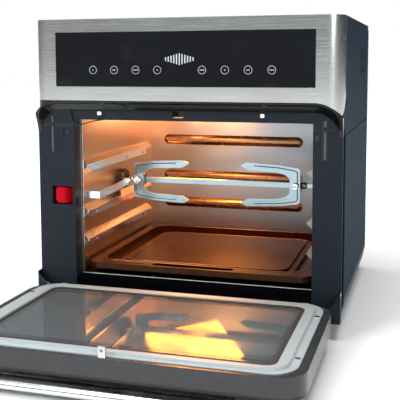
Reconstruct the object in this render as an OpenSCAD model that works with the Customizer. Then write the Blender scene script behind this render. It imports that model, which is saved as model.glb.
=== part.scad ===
// Countertop rotisserie and air-fry oven with a drop-down door.
// X runs to the right, Y to the rear, Z up. The door is drawn open, lying level.

/* [Body] */
// Width over the side panels
body_w = 360; // [350:1:380]
// Height of the top panel above the surface the oven stands on
body_h = 350; // [340:1:380]
// Depth from the face of the front members to the rear edge of the side panels
body_d = 306; // [300:1:340]
// Height of the feet
foot_h = 18; // [17:0.5:20]
// Thickness of the outer sheet panels
sheet = 1; // [0.8:0.1:1.2]

/* [Door opening] */
// Left edge of the opening, from the middle of the body
open_left = -134; // [-136:1:-132]
// Right edge of the opening
open_right = 147.5; // [146:0.5:149]
// Height of the sill lip
lip_z = 46; // [46:0.5:47]
// Top edge of the opening
open_top = 234; // [228:1:236]
// Lower edge of the steel fascia, which is the top of the door recess
rim_z = 255.5; // [254:0.5:258]
// How far the fascia and the trim stand ahead of the members
proud = 9.5; // [8:0.5:10]
// Depth of the jambs between the face and the cavity
jamb_d = 18; // [16:1:20]
// Corner radius of the door recess
recess_r = 35; // [35:1:36]

/* [Cavity] */
// Rear wall of the cavity, behind the face
cavity_rear_y = 264; // [256:1:268]
// Underside of the ceiling
ceiling_z = 240; // [238:1:242]
// Heights of the rack rails
rail_zs = [89.5, 124.5, 181];
// Width of a rail's ledge
rail_w = 9; // [7:0.5:10]
// Diameter of the holes in the ceiling grille
grille_d = 6; // [4:0.5:7]

/* [Spit] */
// Distance of the spit behind the face
spit_y = 141.7; // [138:0.1:144]
// Height of the spit
spit_z = 144.2; // [143:0.1:146]
// Width across the flats of the spit
spit_w = 6.4; // [6:0.1:7]
// Middle of the left fork's back
fork_left_x = -104; // [-104:1:-100]
// Middle of the right fork's back
fork_right_x = 105.5; // [100:0.5:105.5]
// Length of a fork from its back to its points
fork_len = 70; // [60:1:70]

/* [Tray] */
// Height of the tray's rim
tray_z = 59; // [58:0.5:62]
// Depth of the tray from rim to underside
tray_d = 12.5; // [11:0.5:12.5]

/* [Door] */
// Height of the door, which is its depth when it lies open
door_h = 209.5; // [205:0.5:209.5]
// Half of the door's width
door_hw = 174.5; // [170:0.5:174.5]
// Height of the hinge axis
hinge_z = 33; // [33:0.5:34]
// Distance of the hinge axis ahead of the face
hinge_y = -10; // [-10.5:0.5:-10]

/* [Hidden] */
$fn = 48;

hw = body_w / 2;
rear_y = body_d + 10;             // outside of the rear cover
gland_y = rear_y + 8;             // end of the cord gland
grip_front = hinge_y - 226;       // front of the grip when the door is open
front_y = -(gland_y + grip_front) / 2;   // face of the members in the part's own frame
gap = 0.2;                        // clearance between neighbouring covers
recess_cx = hw + 4 - recess_r;    // centres of the recess corners
recess_top_cz = rim_z - 1.5 - recess_r;
recess_low_cz = hinge_z + recess_r;
bead_w = 3;                       // width of the trim bead
seam_z = 220;                     // seam between the upper and lower side panels
base_top = foot_h + 17.5;         // top of the base strip
frame_rear = 26;                  // rear edge of the front frame's side flanges
wall = 1;                         // cavity sheet
shelf_front = jamb_d + 1;
shelf_rear = 241;
door_rear = hinge_y - 2;          // rear edge of the open door
door_front = door_rear - door_h;
door_low = foot_h;                // outside of the door's glass when open
door_top = hinge_z + 9;           // highest line of the open door's inner side
lug_xs = [140, 147];              // span of a hinge lug
bracket_xs = [[136, 138.7], [148.3, 151]];
fan_x = 7;                        // fan and heater are centred over the cavity
fan_cy = 141;
lamp_y = 75;
lamp_z = 206;
lever_z0 = 134;
lever_z1 = 152.5;
lever_y = 8;                      // front of the lever's plate, behind the members' face
upper_inset = 0.8;                // how far the upper side panels stand inside the lower ones
head_recess = 1.6;                // how far the head over the opening is set back from the corner pieces
cup_face = -125;                  // mouth of the spit cup

// Everything is drawn from the face of the members, then moved to the part's own frame.
module place() translate([0, front_y, 0]) children();

// A flat outline in X and Z, given thickness from y0 to y1.
module slab(y0, y1) translate([0, y1, 0]) rotate([90, 0, 0]) linear_extrude(y1 - y0) children();

// A flat outline in Y and Z, given thickness from x0 to x1.
module side_slab(x0, x1) translate([x0, 0, 0]) rotate([90, 0, 90]) linear_extrude(x1 - x0) children();

// A rectangle with round corners.
module round_rect(x0, x1, y0, y1, r) {
    translate([x0 + r, y0]) square([x1 - x0 - 2 * r, y1 - y0]);
    translate([x0, y0 + r]) square([x1 - x0, y1 - y0 - 2 * r]);
    for (x = [x0 + r, x1 - r], y = [y0 + r, y1 - r]) translate([x, y]) circle(r);
}

// A box between two corners.
module span(a, b) translate(a) cube(b - a);

// A cylinder along X or along Y.
module rod_x(x0, x1, y, z, r) translate([x0, y, z]) rotate([0, 90, 0]) cylinder(h = x1 - x0, r = r);
module rod_y(y0, y1, x, z, r) translate([x, y0, z]) rotate([-90, 0, 0]) cylinder(h = y1 - y0, r = r);

module both() { children(); mirror([1, 0, 0]) children(); }

// Outline of the door recess, grown by g, cut to the body's width.
module recess_outline(g) intersection() {
    union() {
        translate([-recess_cx, hinge_z - g]) square([2 * recess_cx, rim_z - 1.5 - hinge_z + 2 * g]);
        translate([-hw, recess_low_cz]) square([2 * hw, recess_top_cz - recess_low_cz]);
        for (x = [-recess_cx, recess_cx], z = [recess_low_cz, recess_top_cz])
            translate([x, z]) circle(recess_r + g);
    }
    translate([-hw, foot_h]) square([2 * hw, body_h]);
}

// Slots of the door switches: left edge and width.
switch_slots = [[-147.6, 7], [148.7, 6]];

// Outline of an upper corner piece, from the body's side to its curved inner edge.
module corner_piece() difference() {
    translate([-hw, seam_z + 8]) square([hw - 132.6, rim_z - seam_z - 8]);
    translate([-120, seam_z + 29.5]) scale([0.55, 1]) circle(32);
}

module front_frame() color([0.13, 0.17, 0.2]) place() {
    lever_window = [-163.5, -137];
    difference() {
        union() {
            slab(0, 3) recess_outline(bead_w - 0.5);
            // lower strip and corner pieces that stand proud under the door
            slab(-proud, 3) difference() {
                translate([-hw, foot_h]) square([body_w, 34]);
                recess_outline(2.2);
            }
            // side flanges
            both() span([hw - 4.1, 3, foot_h], [hw - 2.1, frame_rear, rim_z - 16]);
            both() span([hw - 4.1, 3, base_top + 0.5], [hw - 2.1, frame_rear + 12, rim_z - 16]);
            // jambs, sill and head
            slab(3, jamb_d) difference() {
                translate([open_left - 2.5, lip_z - 2.5])
                    square([open_right - open_left + 5, open_top - lip_z + 5]);
                translate([open_left, lip_z]) square([open_right - open_left, open_top - lip_z]);
            }
            // raised ribs down the members, broken at the seams
            for (x = [-163.2, 158.4], z = [[194, 226.4], [229.4, 238.4]])
                slab(-0.9, 0.2) round_rect(x, x + 4.2, z[0], z[1], 2);
            // walls of the lever's window
            slab(3, lever_y - 0.4) difference() {
                translate([lever_window[0] - 1.5, lever_z0 - 3.2]) square([28.2, lever_z1 - lever_z0 + 6.4]);
                translate([lever_window[0], lever_z0 - 1.7]) square([30, lever_z1 - lever_z0 + 3.4]);
            }
        }
        span([open_left, -20, lip_z], [open_right, jamb_d + 1, open_top]);
        span([lever_window[0], -1, lever_z0 - 1.7], [lever_window[1], 4, lever_z1 + 1.7]);
        span([-12.5, -1, 237.5], [0.5, 4, 245.5]);
        // head between the two corner pieces
        slab(-1, head_recess) intersection() {
            recess_outline(-8.6);
            difference() {
                translate([-150, seam_z + 8]) square([300, 40]);
                corner_piece();
                mirror([1, 0]) corner_piece();
            }
        }
        for (at = switch_slots) span([at[0], -1, 214.5], [at[0] + at[1], 10, 222.5]);
        for (x = [-171, 148]) span([x, -1, 227.2], [x + 23, 0.6, 228]);
        both() rod_x(bracket_xs[0][0] - 0.5, bracket_xs[1][1] + 0.5, hinge_y, hinge_z, 7.2);
    }
}

// Cross-section of the trim: r is measured outwards from the recess outline.
module trim_section(bevel) polygon([[bead_w, -proud], [0.8, -proud], [-0.2, -proud + 0.8],
    [-1.2, -proud + 2.6], [-bevel, -0.8], [-bevel, 0], [bead_w, 0]]);

module trim_corner(cx, cz, start, bevel) intersection() {
    translate([cx, 0, cz]) rotate([90, 0, 0]) rotate_extrude(angle = 90, start = start)
        translate([recess_r, 0]) mirror([0, 1]) trim_section(bevel);
    span([-hw, -20, foot_h], [hw, 20, body_h]);
}

module recess_trim() color([0.03, 0.03, 0.035]) place() {
    translate([-recess_cx, 0, recess_top_cz + recess_r]) rotate([90, 0, 90])
        linear_extrude(2 * recess_cx) rotate([0, 0, 90]) mirror([0, 1]) trim_section(8);
    // the corners run out into the body's sides
    difference() {
        union() {
            trim_corner(recess_cx, recess_top_cz, 0, 8);
            trim_corner(-recess_cx, recess_top_cz, 90, 8);
        }
        side_slab(-hw - 1, hw + 1) polygon([[-20, 200], [0.4, 200], [0.4, recess_top_cz - 1], [-2, recess_top_cz + 8],
            [-6, recess_top_cz + 18], [-9.3, recess_top_cz + 27], [-20, recess_top_cz + 29]]);
    }
    trim_low = 2;
    for (side = [0, 1]) mirror([side, 0, 0]) difference() {
        intersection() {
            translate([recess_cx, 0, recess_low_cz]) rotate([90, 0, 0]) rotate_extrude(angle = 90, start = 270)
                polygon([[recess_r, 0], [recess_r + trim_low, 0], [recess_r + trim_low, proud + 0.4],
                    [recess_r + 0.6, proud + 0.4], [recess_r, proud - 0.4]]);
            span([-hw, -20, foot_h], [hw, 20, body_h]);
        }
        rod_x(bracket_xs[0][0] - 0.5, bracket_xs[1][1] + 0.5, hinge_y, hinge_z, 7.2);
    }
}

module fascia_plan(inset) {
    r = 18 - inset;
    intersection() {
        round_rect(-hw + inset, hw - inset, -proud + inset, 60, r);
        translate([-hw, -20]) square([body_w, 20 + jamb_d - 1]);
    }
}

module steel_fascia() color([0.72, 0.73, 0.74]) place() difference() {
    union() {
        translate([0, 0, 236]) linear_extrude(body_h - 236) difference() {
            fascia_plan(0);
            fascia_plan(sheet);
        }
        translate([0, 0, body_h - sheet]) linear_extrude(sheet) fascia_plan(0);
    }
    slab(-20, 0) union() {
        recess_outline(bead_w);
        translate([-hw - 1, 230]) square([body_w + 2, recess_top_cz + 22 - 230]);
    }
    side_slab(-hw - 1, hw + 1) polygon([[-1, 200], [-1, recess_top_cz + 22], [jamb_d, 264], [jamb_d, 200]]);
    span([-151, -20, 273], [151, 0, 335]);
}

module control_glass() color([0.02, 0.02, 0.025]) place()
    slab(-proud - 0.6, -proud + 1.6) round_rect(-150.7, 150.7, 273.3, 334.7, 3);

module control_board() color([0.05, 0.3, 0.12]) place() {
    span([-120, 0, 278], [120, 1.6, 330]);
    span([-60, -6, 288], [60, -0.2, 322]);
    for (x = [-100, -80, 80, 100]) rod_y(1.8, 12, x, 300, 5);
}

module top_panel() color([0.12, 0.15, 0.18]) place() difference() {
    span([-hw, jamb_d - 0.8, body_h - sheet], [hw, body_d, body_h]);
    for (i = [-7 : 7]) span([fan_x + i * 9 - 1.5, 215, body_h - 2], [fan_x + i * 9 + 1.5, 265, body_h + 1]);
}

module upper_panel(side) mirror([side, 0, 0]) difference() {
    // the front edge steps forward under the fascia's slanted lower corner
    side_slab(hw - upper_inset - sheet, hw - upper_inset) polygon([[24, seam_z + gap], [24, 228], [3.2, 228],
        [3.2, 243.5], [jamb_d - 0.8, 262.5], [jamb_d - 0.8, body_h - sheet - 0.1],
        [body_d, body_h - sheet - 0.1], [body_d, seam_z + gap]]);
    for (i = [0 : 9]) span([hw - 3, 190 + i * 9, 285], [hw + 1, 193 + i * 9, 320]);
}
module upper_panel_left() color([0.12, 0.15, 0.18]) place() upper_panel(1);
module upper_panel_right() color([0.12, 0.15, 0.18]) place() upper_panel(0);

module side_panel(side) mirror([side, 0, 0]) {
    span([hw - sheet, 24, base_top + gap], [hw, body_d, seam_z - gap]);
    // folded rear edge that the rear cover is screwed to
    span([hw - 9, body_d - sheet, base_top + gap], [hw - sheet, body_d, seam_z - gap]);
}
module side_panel_left() color([0.13, 0.16, 0.19]) place() side_panel(1);
module side_panel_right() color([0.13, 0.16, 0.19]) place() side_panel(0);

module rear_cover() color([0.1, 0.12, 0.14]) place() difference() {
    slab(body_d + gap, rear_y) round_rect(-hw + 0.6, hw - 0.6, base_top - 9, body_h - 0.4, 6);
    slab(body_d, rear_y - sheet) round_rect(-hw + 1.6, hw - 1.6, base_top - 8, body_h - 1.4, 5);
    for (row = [0 : 2], i = [-8 : 8])
        slab(rear_y - 3, rear_y + 1) round_rect(i * 16 - 5, i * 16 + 5, 262 + row * 22, 268 + row * 22, 2.9);
    for (i = [-5 : 5]) slab(rear_y - 3, rear_y + 1) round_rect(i * 16 - 5, i * 16 + 5, 62, 68, 2.9);
    rod_y(rear_y - 3, rear_y + 1, 140, 60, 8.1);
}

module base_pan() color([0.1, 0.12, 0.14]) place() {
    outer = [[-hw, base_top], [-hw, base_top - 4], [-hw + 3, foot_h], [hw - 3, foot_h],
        [hw, base_top - 4], [hw, base_top]];
    inner = [[hw - 1.5, base_top], [hw - 1.5, base_top - 4], [hw - 4.2, foot_h + 1.5],
        [-hw + 4.2, foot_h + 1.5], [-hw + 1.5, base_top - 4], [-hw + 1.5, base_top]];
    span([-hw + 4.5, 3.2, foot_h], [hw - 4.5, frame_rear + 0.6, foot_h + 1.5]);
    difference() {
        slab(frame_rear + 0.6, body_d) polygon(concat(outer, inner));
        for (i = [-7 : 7], y = [90, 190]) span([i * 16 - 2, y, foot_h - 1], [i * 16 + 2, y + 40, foot_h + 3]);
        for (x = [-145, 145], y = [45, 272]) translate([x, y, foot_h - 1]) cylinder(h = 4, r = 2.6);
    }
}

module feet() color([0.05, 0.05, 0.05]) place() for (x = [-145, 145], y = [45, 272]) translate([x, y, 0]) {
    rotate_extrude() polygon([[0, 0], [12.4, 0], [14, 1.6], [14, foot_h - 3], [12.6, foot_h], [0, foot_h]]);
    translate([0, 0, foot_h - 0.01]) cylinder(h = 6, r = 2.5);
}

module cavity_wall_left() color([0.75, 0.74, 0.72]) place() difference() {
    span([open_left - wall, jamb_d, lip_z], [open_left, cavity_rear_y, ceiling_z]);
    rod_x(open_left - 2, open_left + 1, spit_y, spit_z, 14.2);
    span([open_left - 2, jamb_d + 2.5, 136.7], [open_left + 1, jamb_d + 6.5, 146.3]);
}

module cavity_wall_right() color([0.75, 0.74, 0.72]) place() difference() {
    span([open_right, jamb_d, lip_z], [open_right + wall, cavity_rear_y, ceiling_z]);
    rod_x(open_right - 1, open_right + 2, spit_y, spit_z, 5.5);
    rod_x(open_right - 1, open_right + 2, lamp_y, lamp_z, 17);
}

module pressed_rib(x0, x1, z0, z1, depth) slab(cavity_rear_y - depth, cavity_rear_y)
    round_rect(x0, x1, z0, z1, (z1 - z0) / 2 - 0.05);

module cavity_rear() color([0.75, 0.74, 0.72]) place() {
    difference() {
        span([open_left - wall, cavity_rear_y, lip_z], [open_right + wall, cavity_rear_y + wall, ceiling_z]);
        rod_y(cavity_rear_y - 1, cavity_rear_y + 2, 120, 226, 3.1);
    }
    // pressed stiffening ribs, proud of the wall
    for (z = [93.5, 133.5, 186.5], step = [0 : 3])
        pressed_rib(-112 + step * 1.3, 94 - step * 1.3, z - 6.5 + step * 1.3, z + 6.5 - step * 1.3, 1.2 + step * 0.8);
}

module cavity_ceiling() color([0.75, 0.74, 0.72]) place() translate([0, 0, ceiling_z]) linear_extrude(wall)
    difference() {
        translate([open_left - wall, jamb_d])
            square([open_right - open_left + 2 * wall, cavity_rear_y + wall - jamb_d]);
        translate([fan_x, fan_cy]) circle(grille_d / 2);
        for (ring = [1 : 5], i = [0 : 6 * ring - 1])
            translate([fan_x + ring * 15 * cos(i * 60 / ring), fan_cy + ring * 15 * sin(i * 60 / ring)])
                circle(d = grille_d);
    }

module cavity_floor() color([0.75, 0.74, 0.72]) place() {
    span([open_left - wall, jamb_d, lip_z - wall], [open_right + wall, cavity_rear_y + wall, lip_z]);
}

// Rack rail against a wall on its left: a sloping ledge on a riveted flange, with a gusset at the front.
module rail(z) {
    side_slab(0, 0.8) translate([shelf_front, z - 14]) square([shelf_rear - shelf_front, 17.5]);
    slab(shelf_front, shelf_rear) polygon([[0.4, z + 3.5], [0.8, z + 3.5], [rail_w - 1, z - 2], [rail_w, z - 2.4],
        [rail_w, z - 4.4], [rail_w - 0.8, z - 4.4], [rail_w - 0.8, z - 3], [0.4, z + 2.6]]);
    slab(shelf_front, shelf_front + 0.8) polygon([[0.4, z - 12], [0.4, z + 3], [rail_w - 0.4, z - 2.6],
        [rail_w - 0.4, z - 4.2]]);
}
module rack_rails_left() color([0.85, 0.85, 0.84]) place() for (z = rail_zs) translate([open_left, 0, 0]) rail(z);
module rack_rails_right() color([0.85, 0.85, 0.84]) place() for (z = rail_zs)
    translate([open_right, 0, 0]) mirror([1, 0, 0]) rail(z);

module rail_rivets() color([0.8, 0.8, 0.8]) place() for (z = rail_zs, y = [62, 166, 228]) {
    rod_x(open_left + 0.8, open_left + 2, y, z - 10.5, 2.2);
    rod_x(open_right - 2, open_right - 0.8, y, z - 10.5, 2.2);
}

module heating_element() color([0.35, 0.33, 0.32]) place() translate([fan_x, fan_cy, 251]) {
    for (r = [48, 78]) rotate_extrude() translate([r, 0]) circle(3.2);
    for (a = [0, 90, 180, 270]) rotate([0, 0, a]) translate([51.4, -0.6, -4]) cube([23.2, 1.2, 8]);
    for (x = [-12, 12]) translate([x, 80, 0]) rotate([-90, 0, 0]) cylinder(h = 32, r = 3.2);
}

module fan_shroud() color([0.7, 0.7, 0.7]) place() difference() {
    span([fan_x - 100, fan_cy - 98, ceiling_z + wall], [fan_x + 100, fan_cy + 98, 291]);
    span([fan_x - 99, fan_cy - 97, ceiling_z], [fan_x + 99, fan_cy + 97, 290]);
    translate([fan_x, fan_cy, 280]) cylinder(h = 20, r = 7);
    for (x = [-12, 12]) rod_y(fan_cy + 90, fan_cy + 100, fan_x + x, 251, 3.6);
}

module fan_motor() color([0.6, 0.6, 0.62]) place() translate([fan_x, fan_cy, 0]) difference() {
    union() {
        translate([0, 0, 303]) cylinder(h = 25, r = 32);
        for (a = [45, 135, 225, 315]) rotate([0, 0, a]) translate([36, 0, 291]) cylinder(h = 16, r = 3);
        for (a = [45, 135, 225, 315]) rotate([0, 0, a]) translate([28, -5, 303]) cube([13, 10, 2]);
    }
    translate([0, 0, 290]) cylinder(h = 60, r = 4.06);
}

module fan_rotor() color([0.78, 0.78, 0.8]) place() translate([fan_x, fan_cy, 0]) {
    translate([0, 0, 262]) cylinder(h = 83, r = 4);
    translate([0, 0, 280]) cylinder(h = 1.5, r = 72);
    translate([0, 0, 262]) cylinder(h = 19, r = 12);
    for (a = [0 : 30 : 330]) rotate([0, 0, a]) translate([30, 0, 263]) rotate([0, 0, 25]) cube([36, 1.2, 18]);
    translate([0, 0, 336]) cylinder(h = 8, r = 11);
    for (a = [0 : 60 : 300]) rotate([0, 0, a]) translate([9, -1, 337]) rotate([28, 0, 0]) cube([34, 14, 1.2]);
}

module lamp_housing() color([0.7, 0.7, 0.7]) place() difference() {
    rod_x(open_right + wall + 0.1, hw - 6, lamp_y, lamp_z, 19);
    rod_x(open_right, hw - 8, lamp_y, lamp_z, 17.8);
    rod_x(hw - 10, hw, lamp_y, lamp_z, 4);
}
module lamp_bulb() color([1, 0.8, 0.5]) place() {
    rod_x(open_right + 8, hw - 12, lamp_y, lamp_z, 6);
    translate([open_right + 8, lamp_y, lamp_z]) sphere(6);
    rod_x(hw - 12, hw - 3, lamp_y, lamp_z, 3.6);
}
module lamp_glass() color([1, 0.95, 0.85, 0.5]) place() {
    rod_x(open_right - 1.6, open_right, lamp_y, lamp_z, 20);
    rod_x(open_right, open_right + wall, lamp_y, lamp_z, 16.6);
}

module spit_motor() color([0.55, 0.56, 0.58]) place() {
    difference() {
        union() {
            slab_z = 27;
            span([157, spit_y - 26, spit_z - slab_z], [177.5, spit_y + 26, spit_z + slab_z]);
            span([155.4, spit_y - 34, spit_z - 30], [157, spit_y + 34, spit_z + 30]);
        }
        rod_x(150, 172, spit_y, spit_z, 3.06);
    }
    for (y = [-30, 30], z = [-24, 24]) rod_x(open_right + wall, 155.4, spit_y + y, spit_z + z, 3);
}

module insulation() color([0.85, 0.83, 0.75]) place() {
    difference() {
        span([open_right + wall + 0.1, 24, 52], [open_right + wall + 5, 258, 236]);
        rod_x(open_right, hw, lamp_y, lamp_z, 20.5);
        span([open_right, spit_y - 36, spit_z - 32], [hw, spit_y + 36, spit_z + 32]);
    }
    difference() {
        span([open_left - wall - 8, 34, 52], [open_left - wall - 0.1, 258, 236]);
        span([-hw, spit_y - 20, spit_z - 20], [0, spit_y + 20, spit_z + 20]);
    }
    difference() {
        span([open_left, cavity_rear_y + wall + 0.1, 52], [open_right, cavity_rear_y + wall + 12, 236]);
        rod_y(cavity_rear_y, cavity_rear_y + 20, 120, 226, 7);
    }
}

module temperature_probe() color([0.8, 0.8, 0.8]) place() {
    rod_y(cavity_rear_y - 26, cavity_rear_y + 16, 120, 226, 3);
    rod_y(cavity_rear_y + wall, cavity_rear_y + 4, 120, 226, 6);
}

module cord_gland() color([0.04, 0.04, 0.04]) place() difference() {
    union() {
        rod_y(rear_y - 6, gland_y - 2, 140, 60, 8);
        rod_y(rear_y, rear_y + 3, 140, 60, 11);
        rod_y(gland_y - 2, gland_y, 140, 60, 6.5);
    }
    rod_y(rear_y - 7, gland_y + 1, 140, 60, 3.6);
}

module latch_catch() color([0.03, 0.03, 0.03]) place() difference() {
    span([-14, 3.1, 238], [2, 15, 251]);
    span([-12, 3, 237], [0, 13, 247]);
}

module door_bumpers() color([0.92, 0.92, 0.9]) place() for (x = [-101, 92])
    slab(-2.2, head_recess) round_rect(x - 2, x + 2, 239.8, 243.8, 0.8);

module door_switch() color([0.04, 0.04, 0.04]) place() for (at = switch_slots)
    slab(1.2, 9) round_rect(at[0] + 0.4, at[0] + at[1] - 0.4, 214.9, 222.1, 1.2);

module hinge_brackets() color([0.6, 0.6, 0.62]) place() both() for (xs = bracket_xs) difference() {
    side_slab(xs[0], xs[1]) translate([hinge_y, hinge_z]) difference() {
        union() {
            circle(5);
            intersection() {
                circle(7);
                translate([0, -8]) square([8, 8]);
            }
        }
        circle(2.5);
    }
}

module hinge_pins() color([0.8, 0.8, 0.82]) place() both() rod_x(136, 151, hinge_y, hinge_z, 2.5);

module panel_screws() color([0.7, 0.7, 0.72]) place()
    for (x = [-170, 170], z = [60, 195, 330]) difference() {
        rod_y(rear_y, rear_y + 1.8, x, z, 3.4);
        for (a = [0, 90]) translate([x, rear_y + 1.4, z]) rotate([0, a, 0]) cube([4, 1.6, 0.9], center = true);
    }

module release_guide() color([0.7, 0.7, 0.7]) place() {
    difference() {
        span([-157, spit_y - 18, spit_z - 17], [-155, spit_y + 18, spit_z + 17]);
        rod_x(-158, -154, spit_y, spit_z, 5.1);
    }
    for (y = [-19.6, 17.6]) span([-157, spit_y + y, spit_z - 17], [open_left - wall, spit_y + y + 2, spit_z + 17]);
}

module release_spring() color([0.8, 0.8, 0.82]) place() for (i = [0 : 5])
    translate([-152.5 + i * 3.2, spit_y, spit_z]) rotate([0, 90, 0]) rotate_extrude() translate([8, 0]) circle(0.7);

// The door is drawn open: its inner side faces up and its outer glass faces down.
module door_outline(inset) {
    r_low = 33.5;
    r_top = 25.5;
    translate([-door_hw + r_low, door_front + inset]) square([2 * (door_hw - r_low), door_h - 2 * inset]);
    translate([-door_hw + inset, door_front + r_top])
        square([2 * (door_hw - inset), door_h - r_top - r_low]);
    for (s = [-1, 1]) {
        translate([s * (door_hw - r_low), door_rear - r_low]) circle(r_low - inset);
        translate([s * (door_hw - r_top), door_front + r_top]) circle(r_top - inset);
    }
    translate([-door_hw + r_top, door_front + inset]) square([2 * (door_hw - r_top), r_top]);
}

module door_frame() color([0.05, 0.055, 0.06]) place() difference() {
    translate([0, 0, door_low + 3.2]) linear_extrude(door_top - 2.8 - door_low - 3.2) door_outline(0);
    translate([0, 0, door_low]) linear_extrude(30) round_rect(-138, 138, door_front + 36, door_rear - 34, 10);
    translate([0, 0, door_top - 5]) linear_extrude(5) round_rect(-147.2, 147.2, door_front + 19, door_rear - 19, 12);
    both() rod_x(bracket_xs[0][0] - 0.5, bracket_xs[1][1] + 0.5, hinge_y, hinge_z, 7.2);
}

module door_outer_glass() color([0.02, 0.02, 0.03, 0.8]) place() translate([0, 0, door_low])
    linear_extrude(3.1) door_outline(0.4);

module door_inner_panel() color([0.72, 0.74, 0.75]) place() {
    translate([0, 0, door_top - 2.8]) linear_extrude(0.8) difference() {
        round_rect(-166, 166, door_front + 5, door_rear - 2, 26);
        round_rect(-147, 147, door_front + 19.2, door_rear - 19.2, 11.8);
    }
    // raised rim in two steps
    for (step = [0, 1]) translate([0, 0, door_top - 2 + step * 1.2]) linear_extrude(1.2 - step * 0.4) difference() {
        round_rect(-158 + step, 158 - step, door_front + 10 + step, door_rear - 8 - step, 20);
        round_rect(-147 - step, 147 + step, door_front + 19.2 - step, door_rear - 19.2 + step, 11.8);
    }
}

module door_inner_glass() color([0.35, 0.38, 0.4, 0.5]) place() translate([0, 0, door_top - 5])
    linear_extrude(3.6) round_rect(-146.6, 146.6, door_front + 19.6, door_rear - 19.6, 11.4);

module door_seal() color([0.04, 0.04, 0.04]) place() translate([0, 0, door_top - 1.4]) linear_extrude(0.8)
    difference() {
        round_rect(-146.6, 146.6, door_front + 19.6, door_rear - 19.6, 11.4);
        round_rect(-142.6, 142.6, door_front + 23.6, door_rear - 23.6, 10);
    }

module door_grip() color([0.75, 0.76, 0.77]) place() side_slab(-142, 142)
    round_rect(grip_front, grip_front + 21, 5, 13.6, 4.2);

module grip_posts() color([0.1, 0.1, 0.1]) place() for (x = [-125, 125])
    translate([0, 0, 13.7]) linear_extrude(door_low - 13.8)
        round_rect(x - 9, x + 9, door_front + 0.8, door_front + 6, 2.4);

module door_strike() color([0.6, 0.6, 0.62]) place() difference() {
    span([-9.5, door_front + 0.9, door_top - 2.7], [-2.5, door_front + 3.1, door_top + 8]);
    rod_y(door_front, door_front + 5, -6, door_top + 4.5, 1.6);
}

module hinge_lugs() color([0.6, 0.6, 0.62]) place() both() side_slab(lug_xs[0], lug_xs[1])
    translate([hinge_y, hinge_z]) difference() {
        union() {
            circle(5);
            intersection() {
                circle(7.1);
                translate([-8, -8]) square([6, 16]);
            }
        }
        circle(2.56);
    }

module door_screws() color([0.7, 0.7, 0.7]) place() for (x = [-162, 162], y = [door_front + 45, door_rear - 45])
    translate([x, y, door_top - 2]) cylinder(h = 0.9, r = 2.6);

// Outlines of the tray, from the rim inwards.
module tray_outline(inset, r) round_rect(-129 + inset, 143 - inset, 20 + inset, 262 - inset, r);
module tray_well(inset, r) round_rect(-118 + inset, 130.5 - inset, 38 + inset, 251 - inset, r);

module drip_tray() color([0.06, 0.055, 0.05]) place() {
    low = tray_z - tray_d;
    difference() {
        union() {
            translate([0, 0, tray_z - 1]) linear_extrude(1) difference() {
                tray_outline(0, 14);
                tray_well(0, 20);
            }
            // front skirt under the rim
            translate([0, 0, tray_z - 7]) linear_extrude(6) difference() {
                tray_outline(0, 14);
                tray_outline(1, 13);
            }
            // channel, step and raised middle
            translate([0, 0, low]) linear_extrude(tray_d - 0.5) difference() {
                tray_well(-0.9, 20.9);
                tray_well(0, 20);
            }
            translate([0, 0, low]) linear_extrude(1) difference() {
                tray_well(-0.5, 20.5);
                tray_well(15, 18);
            }
            translate([0, 0, low]) linear_extrude(5.5) difference() {
                tray_well(14, 19);
                tray_well(15, 18);
            }
            translate([0, 0, low + 4.5]) linear_extrude(1) difference() {
                tray_well(14.5, 18.5);
                tray_well(22.5, 15.5);
            }
            translate([0, 0, low + 4.5]) linear_extrude(3.5) difference() {
                tray_well(22, 16);
                tray_well(23, 15);
            }
            translate([0, 0, low + 7]) linear_extrude(1) tray_well(22.5, 15.5);
        }
        translate([0, 0, tray_z - 3]) linear_extrude(5) round_rect(-48, 51, 27, 31, 1.9);
    }
}

module spit_rod() color([0.75, 0.77, 0.78]) place() translate([0, spit_y, spit_z]) {
    half = spit_w / 2;
    translate([-112, -half, -half]) cube([224, spit_w, spit_w]);
    translate([cup_face - 3.5, 0, 0]) rotate([0, 90, 0]) cylinder(h = -112 - cup_face + 4, r = 3);
    translate([111.9, 0, 0]) rotate([0, 90, 0]) rotate_extrude() polygon([[0, 0], [2.8, 0], [2.8, 0.9], [3.9, 1.9],
        [4.5, 3.4], [4.6, 4.7], [4.5, 6], [3.9, 7.5], [2.8, 8.5], [0, 8.5]]);
    translate([120.3, -2.2, -2.2]) cube([20.7, 4.4, 4.4]);
}

// Outline of a stamped fork seen from the front, its back centred on the spit and its points towards +X.
module fork_outer(inset) {
    upper = [[-7 + inset, 0], [-7 + inset, 20.5 - inset], [-5.4 + inset, 22.4 - inset], [-3 + inset, 23.2 - inset],
        [20, 26.2 - inset], [fork_len - 8 - inset, 28.4 - inset], [fork_len - inset * 2, 25 - inset / 2],
        [fork_len - 12 - inset, 0]];
    polygon(upper);
    mirror([0, 1]) polygon(upper);
}
module fork_inner(inset) {
    upper = [[6.4 - inset, 0], [6.4 - inset, 9.4 + inset / 2], [12 - inset / 2, 14 + inset], [24, 17 + inset],
        [fork_len - 10, 18.4 + inset], [fork_len + 2, 25 + inset / 2], [fork_len + 2, 0]];
    polygon(upper);
    mirror([0, 1]) polygon(upper);
}
module fork_plate(grow, inset) difference() {
    fork_outer(inset);
    fork_inner(grow);
}

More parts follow.
